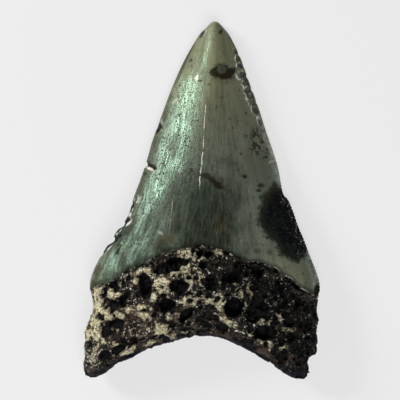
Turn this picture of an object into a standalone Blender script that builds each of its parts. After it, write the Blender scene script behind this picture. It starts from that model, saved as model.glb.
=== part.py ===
"""A fossil megalodon tooth, lying on its flat lip-side face with its tip towards +Y.

The tooth grew as one piece, so it is one solid: a thin-edged crown of enamel on a thick, two-lobed root.
It is a loft. Each section crosses the tooth from its left margin to its right one, as a lens in the crown
and as a round-edged slab in the root, and follows the arch of the root's base and of the enamel line.
Borings and broken flakes are then cut from it. Lengths are in millimetres until the mesh is made.
"""

import math
import random

import bmesh
import bpy
import numpy as np
from mathutils import Matrix, Vector
from mathutils.bvhtree import BVHTree

MM = 0.001

# ---- driving dimensions, in millimetres ------------------------------------------------------------------

CROWN_LENGTH, ROOT_LENGTH = 61.0, 24.0  # along the tooth's middle, either side of the enamel's lower edge
CROWN_HEIGHT_AT_BASE, CROWN_HEIGHT_AT_TIP = 9.5, 1.5  # of the crest above the cutting edges
CREST_SHARE_AT_BASE, CREST_SHARE_AT_TIP = 0.43, 0.56  # where the crest runs, as a share of the width
CREST_X = 3.5  # where the crest ends
CREST_POWER = 0.52  # how the crest falls to the tip: 1 is a straight slope, less is more arched
KEEL_ROUNDING, KEEL_BULGE = 0.12, 0.4  # of the crest near the tip and of its flanks: 0 is a sharp, flat roof
DOME_POWER, UNDERSIDE_POWER = 2.5, 2.4  # how full the crown's two faces are: 2 is a parabola, more is flatter
TIP_ROUNDING = 1.8
ROOT_LOBE_HEIGHT = 8.2  # above the root's rim
SLAB_POWER, SLAB_UNDERSIDE_POWER = 3.2, 5.0  # how square the root's side edges are, above and below the rim
ROOT_SWELLING = 5.4  # how far the root's middle bulges above its own slab
SWELLING_PLACE, SWELLING_SIZE = (0.0, -22.0), (19.0, 9.5)
ROOT_LUMPS = 0.3
BASE_ROUNDING = 5.5  # how far the root's base edge takes to round over
ENAMEL_STEP = 0.5  # how deep the groove below the enamel's lower edge is
RIM_AT_BASE, RIM_AT_SIDES, RIM_AT_SHOULDERS, RIM_AT_TIP = 4.6, 5.4, 3.9, 1.3  # heights above the table
ARCH_CLEARANCE = 1.1  # of the lip side's middle above the table
RESTING_DEPTH = 0.35  # how far the lobes and the crown's upper part are worn flat where they touch

# The outline, seen from above, as points that smooth curves pass through.
LEFT_CROWN_MARGIN = [
    (-30.2, -24.2), (-30.1, -21.8), (-28.6, -17.6), (-27.3, -15.2), (-25.9, -12.9), (-24.4, -10.6),
    (-22.8, -8.2), (-21.0, -6.0), (-19.6, -3.4), (-18.6, 0.1), (-16.6, 5.5), (-14.8, 10.9), (-13.3, 16.2),
    (-11.3, 21.7), (-7.2, 32.5), (-4.7, 37.9), (-2.3, 42.2), (-0.3, 45.3), (1.7, 47.3),
]
RIGHT_CROWN_MARGIN = [
    (31.9, -26.6), (32.1, -24.2), (31.8, -21.6), (30.9, -18.8), (29.4, -15.1), (27.9, -11.0), (26.3, -7.2),
    (24.8, -2.9), (23.5, 0.1), (22.2, 1.8), (21.6, 4.4), (20.8, 8.7), (19.5, 13.0), (17.8, 17.9),
    (15.4, 25.4), (12.8, 32.5), (10.9, 37.9), (9.0, 42.2), (7.2, 45.4), (5.5, 47.4),
]
TIP_ARC = [(1.7, 47.3), (2.5, 48.2), (3.5, 48.6), (4.6, 48.3), (5.5, 47.4)]
ENAMEL_LINE = [
    (-30.2, -24.2), (-27.4, -22.6), (-24.4, -21.5), (-21.7, -19.9), (-15.0, -16.5), (-9.0, -13.8),
    (-3.1, -12.6), (0.4, -12.4), (3.6, -13.0), (7.7, -14.2), (13.1, -16.6), (16.9, -17.1), (20.4, -19.1),
    (27.1, -24.2), (31.9, -26.6),
]
LEFT_ROOT_MARGIN = [
    (-31.5, -47.2), (-32.0, -44.8), (-31.6, -41.5), (-31.9, -38.3), (-31.3, -35.3), (-29.9, -31.5),
    (-29.2, -28.6), (-29.8, -26.1), (-30.2, -24.2),
]
RIGHT_ROOT_MARGIN = [
    (29.4, -46.6), (29.0, -45.0), (28.7, -43.4), (29.6, -42.4), (31.0, -41.4), (31.2, -39.1),
    (31.1, -35.6), (31.5, -31.8), (31.4, -29.0), (31.9, -26.6),
]
BASE_ARCH = [
    (-31.5, -47.2), (-30.1, -48.1), (-28.2, -47.7), (-25.9, -46.5), (-24.2, -45.1), (-22.2, -43.7),
    (-20.3, -43.2), (-14.9, -40.2), (-7.2, -37.9), (0.9, -36.6), (4.7, -37.1), (9.6, -39.0), (17.1, -43.2),
    (23.1, -47.3), (24.7, -48.2), (27.2, -48.6), (29.4, -46.6),
]

# Borings in the root's upper face: place, half length, half width, turn in degrees.
BORINGS = [
    (-0.4, -13.9, 1.3, 1.3, 0), (2.0, -14.0, 0.9, 0.9, 0), (-7.7, -16.3, 2.9, 1.4, 20),
    (0.6, -17.1, 1.2, 1.1, 0), (3.3, -17.0, 1.0, 1.0, 0), (-14.7, -22.0, 2.0, 2.4, 0),
    (-5.0, -22.7, 2.3, 2.0, 0), (2.9, -21.6, 1.7, 1.5, 0), (8.1, -20.1, 1.7, 1.5, 0),
    (-8.5, -28.0, 2.2, 1.8, 30), (-4.2, -31.4, 2.4, 1.3, 50), (8.5, -28.6, 2.6, 2.3, 0),
    (-21.0, -26.7, 1.2, 1.7, 0), (-22.8, -32.7, 1.7, 1.2, 10), (-26.9, -25.8, 0.9, 1.1, 0),
    (-24.1, -28.0, 1.4, 1.2, 30), (-27.5, -31.1, 0.9, 0.9, 0), (16.4, -35.2, 2.3, 1.5, 0),
    (21.4, -35.4, 1.9, 1.6, 0), (19.2, -32.6, 1.2, 1.2, 0), (14.7, -30.9, 1.1, 1.1, 0),
    (26.0, -27.2, 1.2, 1.2, 0), (22.7, -22.2, 0.9, 0.8, 0), (15.1, -19.0, 2.0, 1.5, -20),
    (-23.8, -22.4, 1.2, 0.9, 20), (21.0, -27.9, 1.0, 1.0, 0),
]
BORING_DEPTH = 0.75  # as a share of the half width
UNDERSIDE_BORINGS, UNDERSIDE_SEED = 14, 4

# Flakes broken from the cutting edges: place on the margin, half length along it, half width.
FLAKES = [
    (-14.1, 9.4, 1.2, 1.1), (-18.9, -0.9, 1.1, 0.8), (-21.9, -7.3, 1.6, 1.0), (-24.9, -11.5, 1.8, 1.3),
    (-9.9, 24.8, 2.2, 0.6), (9.8, 39.4, 1.6, 0.9), (11.0, 36.4, 1.5, 0.9), (12.0, 33.5, 1.7, 1.1),
    (13.1, 30.6, 1.6, 1.1), (14.2, 27.6, 1.6, 1.1), (15.2, 25.0, 1.5, 0.9), (22.2, 2.0, 1.6, 0.7),
]
FLAKE_DEPTH, FLAKE_INSET = 0.55, 0.45
FLAKE_TILT = 40.0  # degrees outward of a flake's face from straight up

# ---- resolution ------------------------------------------------------------------------------------------

CELLS_ACROSS = 30
ROOT_SECTIONS, CROWN_SECTIONS = 17, 26

ENAMEL_COLOUR = (0.105, 0.120, 0.085, 1)
ROOT_COLOUR = (0.030, 0.023, 0.018, 1)


def curve_through(points, share):
    """Places on the smooth curve through the points, at shares 0 to 1 of its length.

    Each stretch is a cubic whose end slopes are those of the parabola through the neighbouring points.
    """
    points = np.array(points, float)
    steps = np.linalg.norm(np.diff(points, axis=0), axis=1)
    knots = np.concatenate([[0.0], np.cumsum(steps)]) / steps.sum()
    slopes = np.gradient(points, knots, axis=0)
    first = np.clip(np.searchsorted(knots, share, side="right") - 1, 0, len(knots) - 2)
    length = (knots[first + 1] - knots[first])[:, None]
    u = (share - knots[first])[:, None] / length
    return (
        points[first] * (1 + 2 * u) * (1 - u) ** 2
        + slopes[first] * length * u * (1 - u) ** 2
        + points[first + 1] * u**2 * (3 - 2 * u)
        + slopes[first + 1] * length * u**2 * (u - 1)
    )


def smooth_step(low, high, value):
    """0 below low, 1 above high, and an S-curve between."""
    u = np.clip((value - low) / (high - low), 0, 1)
    return u * u * (3 - 2 * u)


def patch(bottom, top, left, right, along, across):
    """The plan of a four-sided patch, blended from its outline curves (a Coons patch).

    along runs from the bottom curve to the top one, and across from the left margin to the right one.
    """
    low, high = curve_through(bottom, across), curve_through(top, across)
    west, east = curve_through(left, along), curve_through(right, along)
    v, s = along[:, None, None], across[None, :, None]
    corners = (1 - v) * ((1 - s) * low[0] + s * low[-1]) + v * ((1 - s) * high[0] + s * high[-1])
    return (1 - v) * low + v * high + (1 - s) * west[:, None] + s * east[:, None] - corners


def from_crest(up, across):
    """How far out a place is from the crest: 0 on it, and 1 at either margin. The crest bends halfway up."""
    crest = CREST_SHARE_AT_BASE + (CREST_SHARE_AT_TIP - CREST_SHARE_AT_BASE) * smooth_step(0.4, 0.8, up)
    return np.where(across < crest, (crest - across) / crest, (across - crest) / (1 - crest))


def crown_profile(out, up):
    """The crown's section, 1 at the crest and 0 at the edges: a keel by the tip, a low dome by the base."""
    steepest = math.hypot(1, KEEL_ROUNDING) - KEEL_ROUNDING
    roof = 1 - (np.hypot(out, KEEL_ROUNDING) - KEEL_ROUNDING) / steepest
    keel = (1 - KEEL_BULGE) * roof + KEEL_BULGE * (1 - out**2)
    dome = 1 - out**DOME_POWER
    share = smooth_step(0.35, 0.9, up)
    return (1 - share) * dome + share * keel


def slab_profile(out, squareness):
    """A slab with round edges: flat in the middle, and upright where it meets the rim."""
    return np.sqrt(np.clip(1 - out**squareness, 0, 1))


def lumps(x, y):
    """The root's low swells, from crossed waves."""
    crossed = np.sin(-0.43 * x + 0.83 * y) * np.cos(0.52 * x + 0.8)
    return ROOT_LUMPS * (np.sin(0.61 * x + 0.37 * y + 1.0) + crossed)


def crown_heights(up, across):
    """(upper face, lower face) heights over the crown. up is 0 at the enamel line and 1 at the tip."""
    u = up[:, None]
    out = from_crest(u, across[None, :])
    rim = RIM_AT_SHOULDERS + (RIM_AT_TIP - RIM_AT_SHOULDERS) * u**0.8
    crest = CROWN_HEIGHT_AT_TIP + (CROWN_HEIGHT_AT_BASE - CROWN_HEIGHT_AT_TIP) * (1 - u) ** CREST_POWER
    closing = np.sqrt(1 - smooth_step(1 - TIP_ROUNDING / CROWN_LENGTH, 1, u) ** 2)
    worn = RESTING_DEPTH * smooth_step(0.35, 0.55, u) * (1 - smooth_step(0.86, 0.97, u))
    floor = ARCH_CLEARANCE * (1 - smooth_step(0.0, 0.45, u)) - worn
    upper = rim + crest * crown_profile(out, u) * closing
    lower = rim - (rim - floor) * (1 - out**UNDERSIDE_POWER) * closing
    return upper, lower


def root_heights(plan, up, across):
    """(upper face, lower face) heights over the root. up is 0 at the base arch and 1 at the enamel line."""
    x, y = plan[..., 0], plan[..., 1]
    u = up[:, None]
    out = from_crest(0.0, across[None, :])
    rim = RIM_AT_BASE + (RIM_AT_SIDES - RIM_AT_BASE) * smooth_step(0, 0.4, u)
    rim = rim + (RIM_AT_SHOULDERS - RIM_AT_SIDES) * smooth_step(0.6, 1.0, u)
    closing = np.sqrt(1 - (1 - np.clip(u * ROOT_LENGTH / BASE_ROUNDING, 0, 1)) ** 2)
    joined = smooth_step(0.25, 1.0, u)
    off_x, off_y = (x - SWELLING_PLACE[0]) / SWELLING_SIZE[0], (y - SWELLING_PLACE[1]) / SWELLING_SIZE[1]
    swelling = ROOT_SWELLING * np.exp(-(off_x**2) - off_y**2)
    slab = ROOT_LOBE_HEIGHT * slab_profile(out, SLAB_POWER)
    crown = CROWN_HEIGHT_AT_BASE * crown_profile(out, 0.0)
    groove = ENAMEL_STEP * smooth_step(0.90, 0.97, u) * (1 - out**6)
    height = (1 - joined) * slab + joined * crown + (swelling + lumps(x, y)) * (1 - out**4)
    upper = rim + (height - groove) * closing
    lobes = smooth_step(9.0, 17.0, np.abs(x)) * (1 - smooth_step(0.3, 0.75, u))
    floor = ARCH_CLEARANCE * (1 - lobes) - RESTING_DEPTH * lobes
    slab_underside = slab_profile(out, SLAB_UNDERSIDE_POWER)
    underside = (1 - joined) * slab_underside + joined * (1 - out**UNDERSIDE_POWER)
    lower = rim - (rim - floor) * underside * closing
    return upper, lower


def spaced(count, towards_start, towards_end):
    """count steps from 0 to 1, drawn towards either end by the shares given, where the skin turns fastest."""
    even = np.linspace(0, 1, count + 1)
    start = 1 - np.cos(even * math.pi / 2) - even
    end = np.sin(even * math.pi / 2) - even
    return even + towards_start * start + towards_end * end


def sections():
    """The sections from the base arch to the tip: their outlines in plan, and upper and lower heights."""
    across = 0.5 - 0.5 * np.cos(np.linspace(0, math.pi, CELLS_ACROSS + 1))
    root_up = spaced(ROOT_SECTIONS, 0.5, 0)
    crown_up = spaced(CROWN_SECTIONS, 0, 0.35)
    root_plan = patch(BASE_ARCH, ENAMEL_LINE, LEFT_ROOT_MARGIN, RIGHT_ROOT_MARGIN, root_up, across)
    crown_plan = patch(ENAMEL_LINE, TIP_ARC, LEFT_CROWN_MARGIN, RIGHT_CROWN_MARGIN, crown_up, across)
    root_upper, root_lower = root_heights(root_plan, root_up, across)
    crown_upper, crown_lower = crown_heights(crown_up, across)
    plan = np.concatenate([root_plan[:-1], crown_plan])
    upper = np.concatenate([root_upper[:-1], crown_upper])
    lower = np.concatenate([root_lower[:-1], crown_lower])
    return plan, upper, np.maximum(lower, 0.0)


def make_material(name, colour, roughness):
    material = bpy.data.materials.new(name)
    material.use_nodes = True
    shader = material.node_tree.nodes["Principled BSDF"]
    shader.inputs["Base Color"].default_value = colour
    shader.inputs["Roughness"].default_value = roughness
    material.diffuse_color = colour
    return material


def loft_tooth(collection):
    """Joins the sections into one closed skin. The first and the last are flat, so they close it."""
    plan, upper, lower = sections()
    skin = bmesh.new()
    rings = []
    for outline, tops, bottoms in zip(plan, upper, lower):
        over = [(x, y, z) for (x, y), z in zip(outline, tops)]
        under = [(x, y, z) for (x, y), z in zip(outline, bottoms)]
        ring = over + under[-2:0:-1]
        rings.append([skin.verts.new(Vector(point) * MM) for point in ring])
    for number, (near, far) in enumerate(zip(rings, rings[1:])):
        for i in range(len(near)):
            j = (i + 1) % len(near)
            face = skin.faces.new((near[i], near[j], far[j], far[i]))
            face.material_index = 0 if number >= ROOT_SECTIONS else 1
    bmesh.ops.remove_doubles(skin, verts=skin.verts, dist=0.01 * MM)
    bmesh.ops.recalc_face_normals(skin, faces=skin.faces)
    mesh = bpy.data.meshes.new("tooth")
    skin.to_mesh(mesh)
    skin.free()
    mesh.materials.append(make_material("enamel", ENAMEL_COLOUR, 0.35))
    mesh.materials.append(make_material("root", ROOT_COLOUR, 0.6))
    mesh.shade_smooth()
    tooth = bpy.data.objects.new("tooth", mesh)
    collection.objects.link(tooth)
    return tooth


def add_scoop(collection, place, outward, lengthwise, half_length, half_width, depth):
    """A cutter that leaves an oval bowl: an icosphere stretched to the bowl's mouth, sunk in by its depth."""
    ball_radius = (half_width**2 + depth**2) / (2 * depth)
    along = (lengthwise - outward * lengthwise.dot(outward)).normalized()
    facing = Matrix((along, outward.cross(along), outward)).transposed().to_4x4()
    stretch = Matrix.Diagonal((half_length / half_width, 1, 1, 1))
    bpy.ops.mesh.primitive_ico_sphere_add(subdivisions=2, radius=ball_radius * MM)
    ball = bpy.context.active_object
    ball.name = "scoop"
    ball.matrix_world = Matrix.Translation(place + outward * (ball_radius - depth) * MM) @ facing @ stretch
    ball.hide_render = True
    ball.display_type = "WIRE"
    for other in ball.users_collection:
        other.objects.unlink(ball)
    collection.objects.link(ball)


def surface_under(tree, x, y, from_above):
    """(place, outward direction) of the skin that a plumb line at x, y meets first."""
    height = 60 * MM if from_above else -20 * MM
    direction = Vector((0, 0, -1 if from_above else 1))
    place, outward, _, _ = tree.ray_cast(Vector((x * MM, y * MM, height)), direction)
    return place, outward


def add_borings(collection, tree):
    """The bowls that boring sponges and worms left in the root, on both faces."""
    for x, y, half_length, half_width, turn in BORINGS:
        place, outward = surface_under(tree, x, y, True)
        lengthwise = Vector((math.cos(math.radians(turn)), math.sin(math.radians(turn)), 0))
        add_scoop(collection, place, outward, lengthwise, half_length, half_width, BORING_DEPTH * half_width)
    chance = random.Random(UNDERSIDE_SEED)
    for number in range(UNDERSIDE_BORINGS):
        x = 26.0 * (2 * (number + chance.uniform(0.2, 0.8)) / UNDERSIDE_BORINGS - 1)
        arch = -36.4 - 9.0 * (x / 26.0) ** 2
        place, outward = surface_under(tree, x, arch + chance.uniform(3.0, 12.0), False)
        half = chance.uniform(0.7, 1.5)
        add_scoop(collection, place, outward, Vector((1, 0, 0)), half, half, BORING_DEPTH * half)


def add_flakes(collection, tree):
    """Scoops out of the thin cutting edges, each facing up and outward."""
    tilt = math.radians(FLAKE_TILT)
    for x, y, half_length, half_width in FLAKES:
        outward = Vector((x - CREST_X, 0.35 * abs(x - CREST_X), 0)).normalized()
        inset = Vector((x, y, 0)) - outward * FLAKE_INSET
        place, _ = surface_under(tree, inset.x, inset.y, True)
        facing = outward * math.sin(tilt) + Vector((0, 0, math.cos(tilt)))
        lengthwise = outward.cross(Vector((0, 0, 1)))
        add_scoop(collection, place, facing, lengthwise, half_length, half_width, FLAKE_DEPTH)


def cut_away(tooth, cutters):
    cut = tooth.modifiers.new("borings and flakes", "BOOLEAN")
    cut.operation = "DIFFERENCE"
    cut.operand_type = "COLLECTION"
    cut.collection = cutters
    cut.solver = "EXACT"
    cut.use_self = True


def main():
    for leftover in list(bpy.data.objects):
        bpy.data.objects.remove(leftover)
    model = bpy.data.collections.new("megalodon tooth")
    cutters = bpy.data.collections.new("cutters")
    bpy.context.scene.collection.children.link(model)
    bpy.context.scene.collection.children.link(cutters)
    tooth = loft_tooth(model)
    skin = bmesh.new()
    skin.from_mesh(tooth.data)
    tree = BVHTree.FromBMesh(skin)
    skin.free()
    add_borings(cutters, tree)
    add_flakes(cutters, tree)
    cut_away(tooth, cutters)


main()
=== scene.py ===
"""A fossil megalodon tooth lying on its flat lip-side face, laid out as a Blender add-on.

The tooth is one closed skin. Its upper sheet is a fine grid over the root and the crown, worked out with
numpy from the CAD solid's outline and main heights, and then carved with borings, crust, flakes and
serrations. A coarser grid closes it below. Shapes are in millimetres until the mesh is made.
"""

import math
from itertools import product

import bpy
import numpy as np
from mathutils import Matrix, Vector


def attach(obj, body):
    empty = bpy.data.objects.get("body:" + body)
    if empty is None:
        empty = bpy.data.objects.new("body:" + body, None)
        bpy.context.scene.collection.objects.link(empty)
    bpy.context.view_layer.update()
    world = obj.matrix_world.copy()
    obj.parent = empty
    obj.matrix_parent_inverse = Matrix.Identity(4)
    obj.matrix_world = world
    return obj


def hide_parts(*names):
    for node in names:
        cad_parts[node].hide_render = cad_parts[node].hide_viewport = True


bl_info = {
    "name": "Megalodon tooth",
    "version": (1, 0, 0),
    "blender": (4, 5, 0),
    "location": "3D view > Sidebar > Tooth",
    "description": "Builds a fossil megalodon tooth with its finish, and a plain stage",
    "category": "Add Mesh",
}

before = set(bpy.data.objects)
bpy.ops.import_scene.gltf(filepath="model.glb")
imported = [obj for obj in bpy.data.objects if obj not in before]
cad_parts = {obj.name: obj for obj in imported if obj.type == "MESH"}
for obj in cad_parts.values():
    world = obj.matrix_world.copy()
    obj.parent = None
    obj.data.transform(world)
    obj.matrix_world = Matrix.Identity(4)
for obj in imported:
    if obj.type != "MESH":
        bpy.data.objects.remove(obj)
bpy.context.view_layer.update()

MM = 0.001

# ---- the tooth's form, in millimetres ----

CROWN_LENGTH, ROOT_LENGTH = 61, 24  # along the tooth's middle, either side of the enamel's lower edge
CROWN_HEIGHT_AT_BASE, CROWN_HEIGHT_AT_TIP = 9.5, 1.5  # of the crest above the cutting edges
CREST_SHARE_AT_BASE, CREST_SHARE_AT_TIP = 0.43, 0.52  # where the crest runs, as a share of the width
CREST_X = 3.5  # where the crest ends
CREST_POWER = 0.52  # how the crest falls to the tip: 1 is a straight slope, less is more arched
KEEL_ROUNDING, KEEL_BULGE = 0.12, 0.4  # of the crest near the tip and of its flanks: 0 is a sharp, flat roof
DOME_POWER, UNDERSIDE_POWER = 1.6, 2.4  # how full the crown's two faces are: 2 is a parabola, more is flatter
SHOULDER_SHARE, SHOULDER_POWER = 0.5, 16  # how much of the crown's height rises steeply beside its margins
TIP_ROUNDING = 1.8
GENTLE_DEGREE = 3  # of the curves that the margins wiggle about
ROOT_LOBE_HEIGHT = 8.2  # above the root's rim
SLAB_POWER, SLAB_UNDERSIDE_POWER = 3.2, 5  # how square the root's side edges are, above and below the rim
ROOT_SWELLING = 5.4  # how far the root's middle bulges above its own slab
SWELLING_PLACE, SWELLING_SIZE = (0, -22), (19, 9.5)
ROOT_LUMPS = 0.3
BASE_ROUNDING = 5.5  # how far the root's base edge takes to round over
RIM_AT_BASE, RIM_AT_SIDES, RIM_AT_SHOULDERS, RIM_AT_TIP = 4.6, 5.4, 3.9, 1.3  # heights above the table
ARCH_CLEARANCE = 1.1  # of the lip side's middle above the table
RESTING_DEPTH = 0.35  # how far the lobes and the crown's upper part are worn flat where they touch

# The outline, seen from above, as points that smooth curves pass through.
LEFT_CROWN_MARGIN = [
    (-30.2, -24.2), (-30.1, -21.8), (-28.6, -17.6), (-27.3, -15.2), (-25.9, -12.9), (-24.4, -10.6),
    (-22.8, -8.2), (-21, -6), (-19.6, -3.4), (-18.6, 0.1), (-16.6, 5.5), (-14.8, 10.9), (-13.3, 16.2),
    (-11.3, 21.7), (-7.2, 32.5), (-4.7, 37.9), (-2.3, 42.2), (-0.3, 45.3), (1.7, 47.3),
]
RIGHT_CROWN_MARGIN = [
    (31.9, -26.6), (32.1, -24.2), (31.8, -21.6), (30.9, -18.8), (29.4, -15.1), (27.9, -11), (26.3, -7.2),
    (24.8, -2.9), (23.5, 0.1), (22.2, 1.8), (21.6, 4.4), (20.8, 8.7), (19.5, 13), (17.8, 17.9), (15.4, 25.4),
    (12.8, 32.5), (10.9, 37.9), (9, 42.2), (7.2, 45.4), (5.5, 47.4),
]
TIP_ARC = [(1.7, 47.3), (2.5, 48.2), (3.5, 48.6), (4.6, 48.3), (5.5, 47.4)]
ENAMEL_LINE = [
    (-30.2, -24.2), (-27.4, -22.6), (-24.4, -21.5), (-21.7, -19.9), (-15, -16.5), (-9, -13.8), (-3.1, -12.6),
    (0.4, -12.4), (3.6, -13), (7.7, -14.2), (13.1, -16.6), (16.9, -17.1), (20.4, -19.1), (27.1, -24.2),
    (31.9, -26.6),
]
LEFT_ROOT_MARGIN = [
    (-31.5, -47.2), (-32, -44.8), (-31.6, -41.5), (-31.9, -38.3), (-31.3, -35.3), (-29.9, -31.5),
    (-29.2, -28.6), (-29.8, -26.1), (-30.2, -24.2),
]
RIGHT_ROOT_MARGIN = [
    (29.4, -46.6), (29, -45), (28.7, -43.4), (29.6, -42.4), (31, -41.4), (31.2, -39.1), (31.1, -35.6),
    (31.5, -31.8), (31.4, -29), (31.9, -26.6),
]
BASE_ARCH = [
    (-31.5, -47.2), (-30.1, -48.1), (-28.2, -47.7), (-25.9, -46.5), (-24.2, -45.1), (-22.2, -43.7),
    (-20.3, -43.2), (-14.9, -40.2), (-7.2, -37.9), (0.9, -36.6), (4.7, -37.1), (9.6, -39), (17.1, -43.2),
    (23.1, -47.3), (24.7, -48.2), (27.2, -48.6), (29.4, -46.6),
]

# ---- the root's relief: each as place, half length, half width, turn in degrees, depth or strength ----

BORINGS = [
    (-0.4, -13.8, 1.3, 1.3, 0, 1.7), (2, -13.9, 0.9, 0.9, 0, 1), (-8, -17, 4.2, 1.9, 22, 1.6),
    (-11.6, -18.6, 1.2, 1.1, 0, 1.1), (0.6, -16.9, 1.3, 1.2, 0, 1.3), (-15.1, -22.2, 2, 2.9, 0, 2),
    (-6.2, -22.8, 2.8, 2.1, 0, 1.9), (2.9, -21.5, 1.8, 2.4, 0, 1.3), (8.1, -20.6, 3, 1.6, 0, 1.3),
    (-8.8, -28, 2.2, 2, 0, 1.8), (-4.2, -30.6, 2.5, 1.4, 50, 1.5), (8.8, -28.8, 2.7, 2.6, 0, 2),
    (-21, -26.7, 1.1, 1.9, 0, 1.3), (-23, -32.8, 2.3, 1.5, 10, 1.4), (-26.3, -24.2, 0.9, 0.9, 0, 0.9),
    (-26.8, -25.6, 0.9, 0.9, 0, 0.9), (-23.9, -28.3, 1.6, 1.5, 0, 1.1), (-27.7, -31, 0.9, 0.9, 0, 0.8),
    (17.3, -35.5, 3.2, 1.9, 0, 1.4), (13.5, -31.6, 1.6, 1.4, 0, 1.2), (16.7, -28.4, 1.4, 1.3, 0, 1),
    (22.5, -30.5, 1.5, 1.2, 0, 0.8), (15.1, -19, 2, 1.5, -20, 1), (21.5, -23.5, 1.2, 1, 0, 0.7),
    (26, -27.4, 1.2, 1.2, 0, 0.8), (-23.8, -22.6, 1.2, 0.9, 20, 0.9), (24, -36.5, 1.4, 1.1, 0, 0.8),
]
CRUST_PATCHES = [
    (-29, -22.9, 0.9, 0.9, 0, 0.8), (-28.2, -26.8, 1.1, 1.1, 0, 0.8), (-23.5, -24.7, 1.7, 1.3, 30, 1),
    (-27.4, -29.5, 2.3, 2, 0, 1.2), (-28.9, -33.1, 1.6, 2.9, 0, 1.2), (-31, -35.6, 1.2, 1.8, 0, 1.2),
    (-28, -25.5, 1.5, 2.2, 0, 1), (-29.6, -30.3, 1, 1.6, 0, 1.1), (-25.3, -31.6, 1.6, 1, 20, 0.6),
    (-31, -32.6, 0.9, 2.2, 0, 1.2), (-26.2, -35.9, 2.3, 1.6, 30, 1), (-22, -30.7, 1.2, 0.8, 0, 0.5),
    (-19.6, -29.4, 1.2, 1, 0, 0.4), (-15.6, -29.8, 2, 1.5, -35, 0.8), (-16, -19.2, 2.2, 1.1, 20, 1),
    (-17.4, -21.2, 0.8, 1.6, 0, 0.9), (-3.6, -14.4, 2.6, 1.5, 15, 1), (-6, -18.4, 3.6, 1.2, 18, 1),
    (-3.3, -20.6, 1.1, 2.3, -10, 0.9), (-10.5, -22.5, 1.9, 1.9, 0, 1), (-12.7, -25.6, 1.4, 1, 0, 0.8),
    (0.6, -15.4, 1, 0.7, 0, 0.8), (4.5, -13.5, 1.3, 0.7, -10, 0.8), (-0.7, -20.9, 0.8, 1.3, 0, 0.8),
    (4.6, -22.2, 1.4, 0.6, 40, 0.7), (8.3, -21.9, 1.6, 0.6, 0, 0.6), (5, -25, 1.2, 0.8, -30, 0.8),
    (1.4, -26.3, 2.4, 0.8, -20, 0.8), (4.8, -27, 1.7, 0.8, 0, 0.8), (10.2, -24.7, 0.8, 1.2, 0, 0.6),
    (12.4, -24.2, 0.7, 1.4, 0, 0.7), (-3.8, -26.9, 1.9, 1.4, 0, 0.9), (-6.7, -30.3, 0.9, 0.9, 0, 0.7),
    (-10.4, -35.6, 2.8, 1.6, -60, 1), (-8.9, -37.2, 3.4, 1, 15, 1), (-3, -36.1, 2.4, 0.9, 5, 0.8),
    (4.6, -28.2, 0.8, 1.7, 25, 1), (5.6, -31.3, 1, 1.6, 40, 1), (8, -33, 1.7, 0.8, -15, 1),
    (12.2, -28.6, 1, 0.9, 0, 0.6), (16.3, -32.8, 1.5, 0.9, 0, 0.6), (13.4, -35.4, 1.2, 0.8, 0, 0.6),
    (17.1, -37.9, 2.2, 0.9, -25, 0.7), (21.1, -31, 1, 1.2, 0, 0.8), (23, -34.6, 1.1, 0.9, 0, 0.6),
    (22.1, -39.3, 1, 1.1, 0, 0.6), (-20.2, -40.3, 2.4, 0.9, 20, 0.9), (-22.9, -39, 1.2, 0.9, 0, 0.7),
    (-28.6, -40.3, 1, 1.2, 0, 0.3), (-29.7, -42.8, 1, 1.2, 0, 0.3), (-13.5, -38.6, 2.4, 0.8, 25, 0.8),
    (18.7, -38.6, 1.1, 1, 0, 0.6), (-8.4, -30.9, 0.9, 0.8, 0, 0.6),
]
CRUST_THICKNESS = 0.22
ENAMEL_STEP = 0.45  # how far the enamel's lower edge stands above the root

# ---- the crown's relief ----

# Flake scars on the upper face: place, half length, half width, turn in degrees, depth.
FLAKE_SCARS = [
    (9.2, 40.3, 0.9, 0.6, -60, 0.2), (9.9, 38.4, 1.1, 0.8, -70, 0.25), (10.4, 36.5, 1, 0.9, -50, 0.25),
    (11.3, 33.8, 1.3, 1.9, -75, 0.35), (12.1, 31.9, 1.4, 1.2, -60, 0.3), (12.7, 29.8, 1.2, 1.4, -70, 0.35),
    (13.3, 28.1, 1.1, 1.3, -50, 0.3), (13.9, 26.4, 1, 1.1, -70, 0.3), (14.6, 24.4, 1.5, 1.1, -60, 0.3),
    (11.8, 30.6, 0.6, 0.7, 0, 0.2), (12.7, 27.2, 0.6, 0.6, 0, 0.2), (15.9, 21, 1.6, 0.6, -68, 0.2),
    (-13.2, 9, 1.6, 0.9, -30, 0.35), (-11.5, 19.8, 2, 0.8, 66, 0.25), (0.3, 45.2, 1.6, 0.6, 55, 0.15),
    (22, 2.4, 1.4, 0.8, -60, 0.3), (31.1, -24.8, 2.6, 0.9, -80, 0.35),
]
# Bites out of the cutting edges, seen from above: height on the edge, half length along it, depth.
LEFT_BITES = [
    (9.6, 0.7, 1.3), (-0.9, 0.5, 0.5), (-6.8, 1, 0.8), (-10.9, 1.3, 1.1), (-14.6, 0.8, 0.3),
    (19.8, 1.2, 0.15),
]
RIGHT_BITES = [
    (39.5, 0.8, 0.25), (36.4, 0.6, 0.15), (33.4, 0.8, 0.25), (29.9, 0.9, 0.25), (26.5, 0.7, 0.2),
    (1.4, 0.6, 0.25), (-25.5, 1.2, 0.35),
]
# Where the enamel is lost on the right flank, as an outline seen from above.
BARE_PATCH = [
    (19.9, 4.2), (17.1, 0.8), (16, -3.2), (15.7, -6.4), (17.6, -8.9), (20.4, -11.4), (21.7, -14.4),
    (24.7, -15.9), (27.3, -15.4), (28.9, -12.8), (28.4, -9.4), (26.6, -5.6), (25.2, -2), (23.6, 1.6),
]
BARE_DEPTH = 0.08
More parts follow.
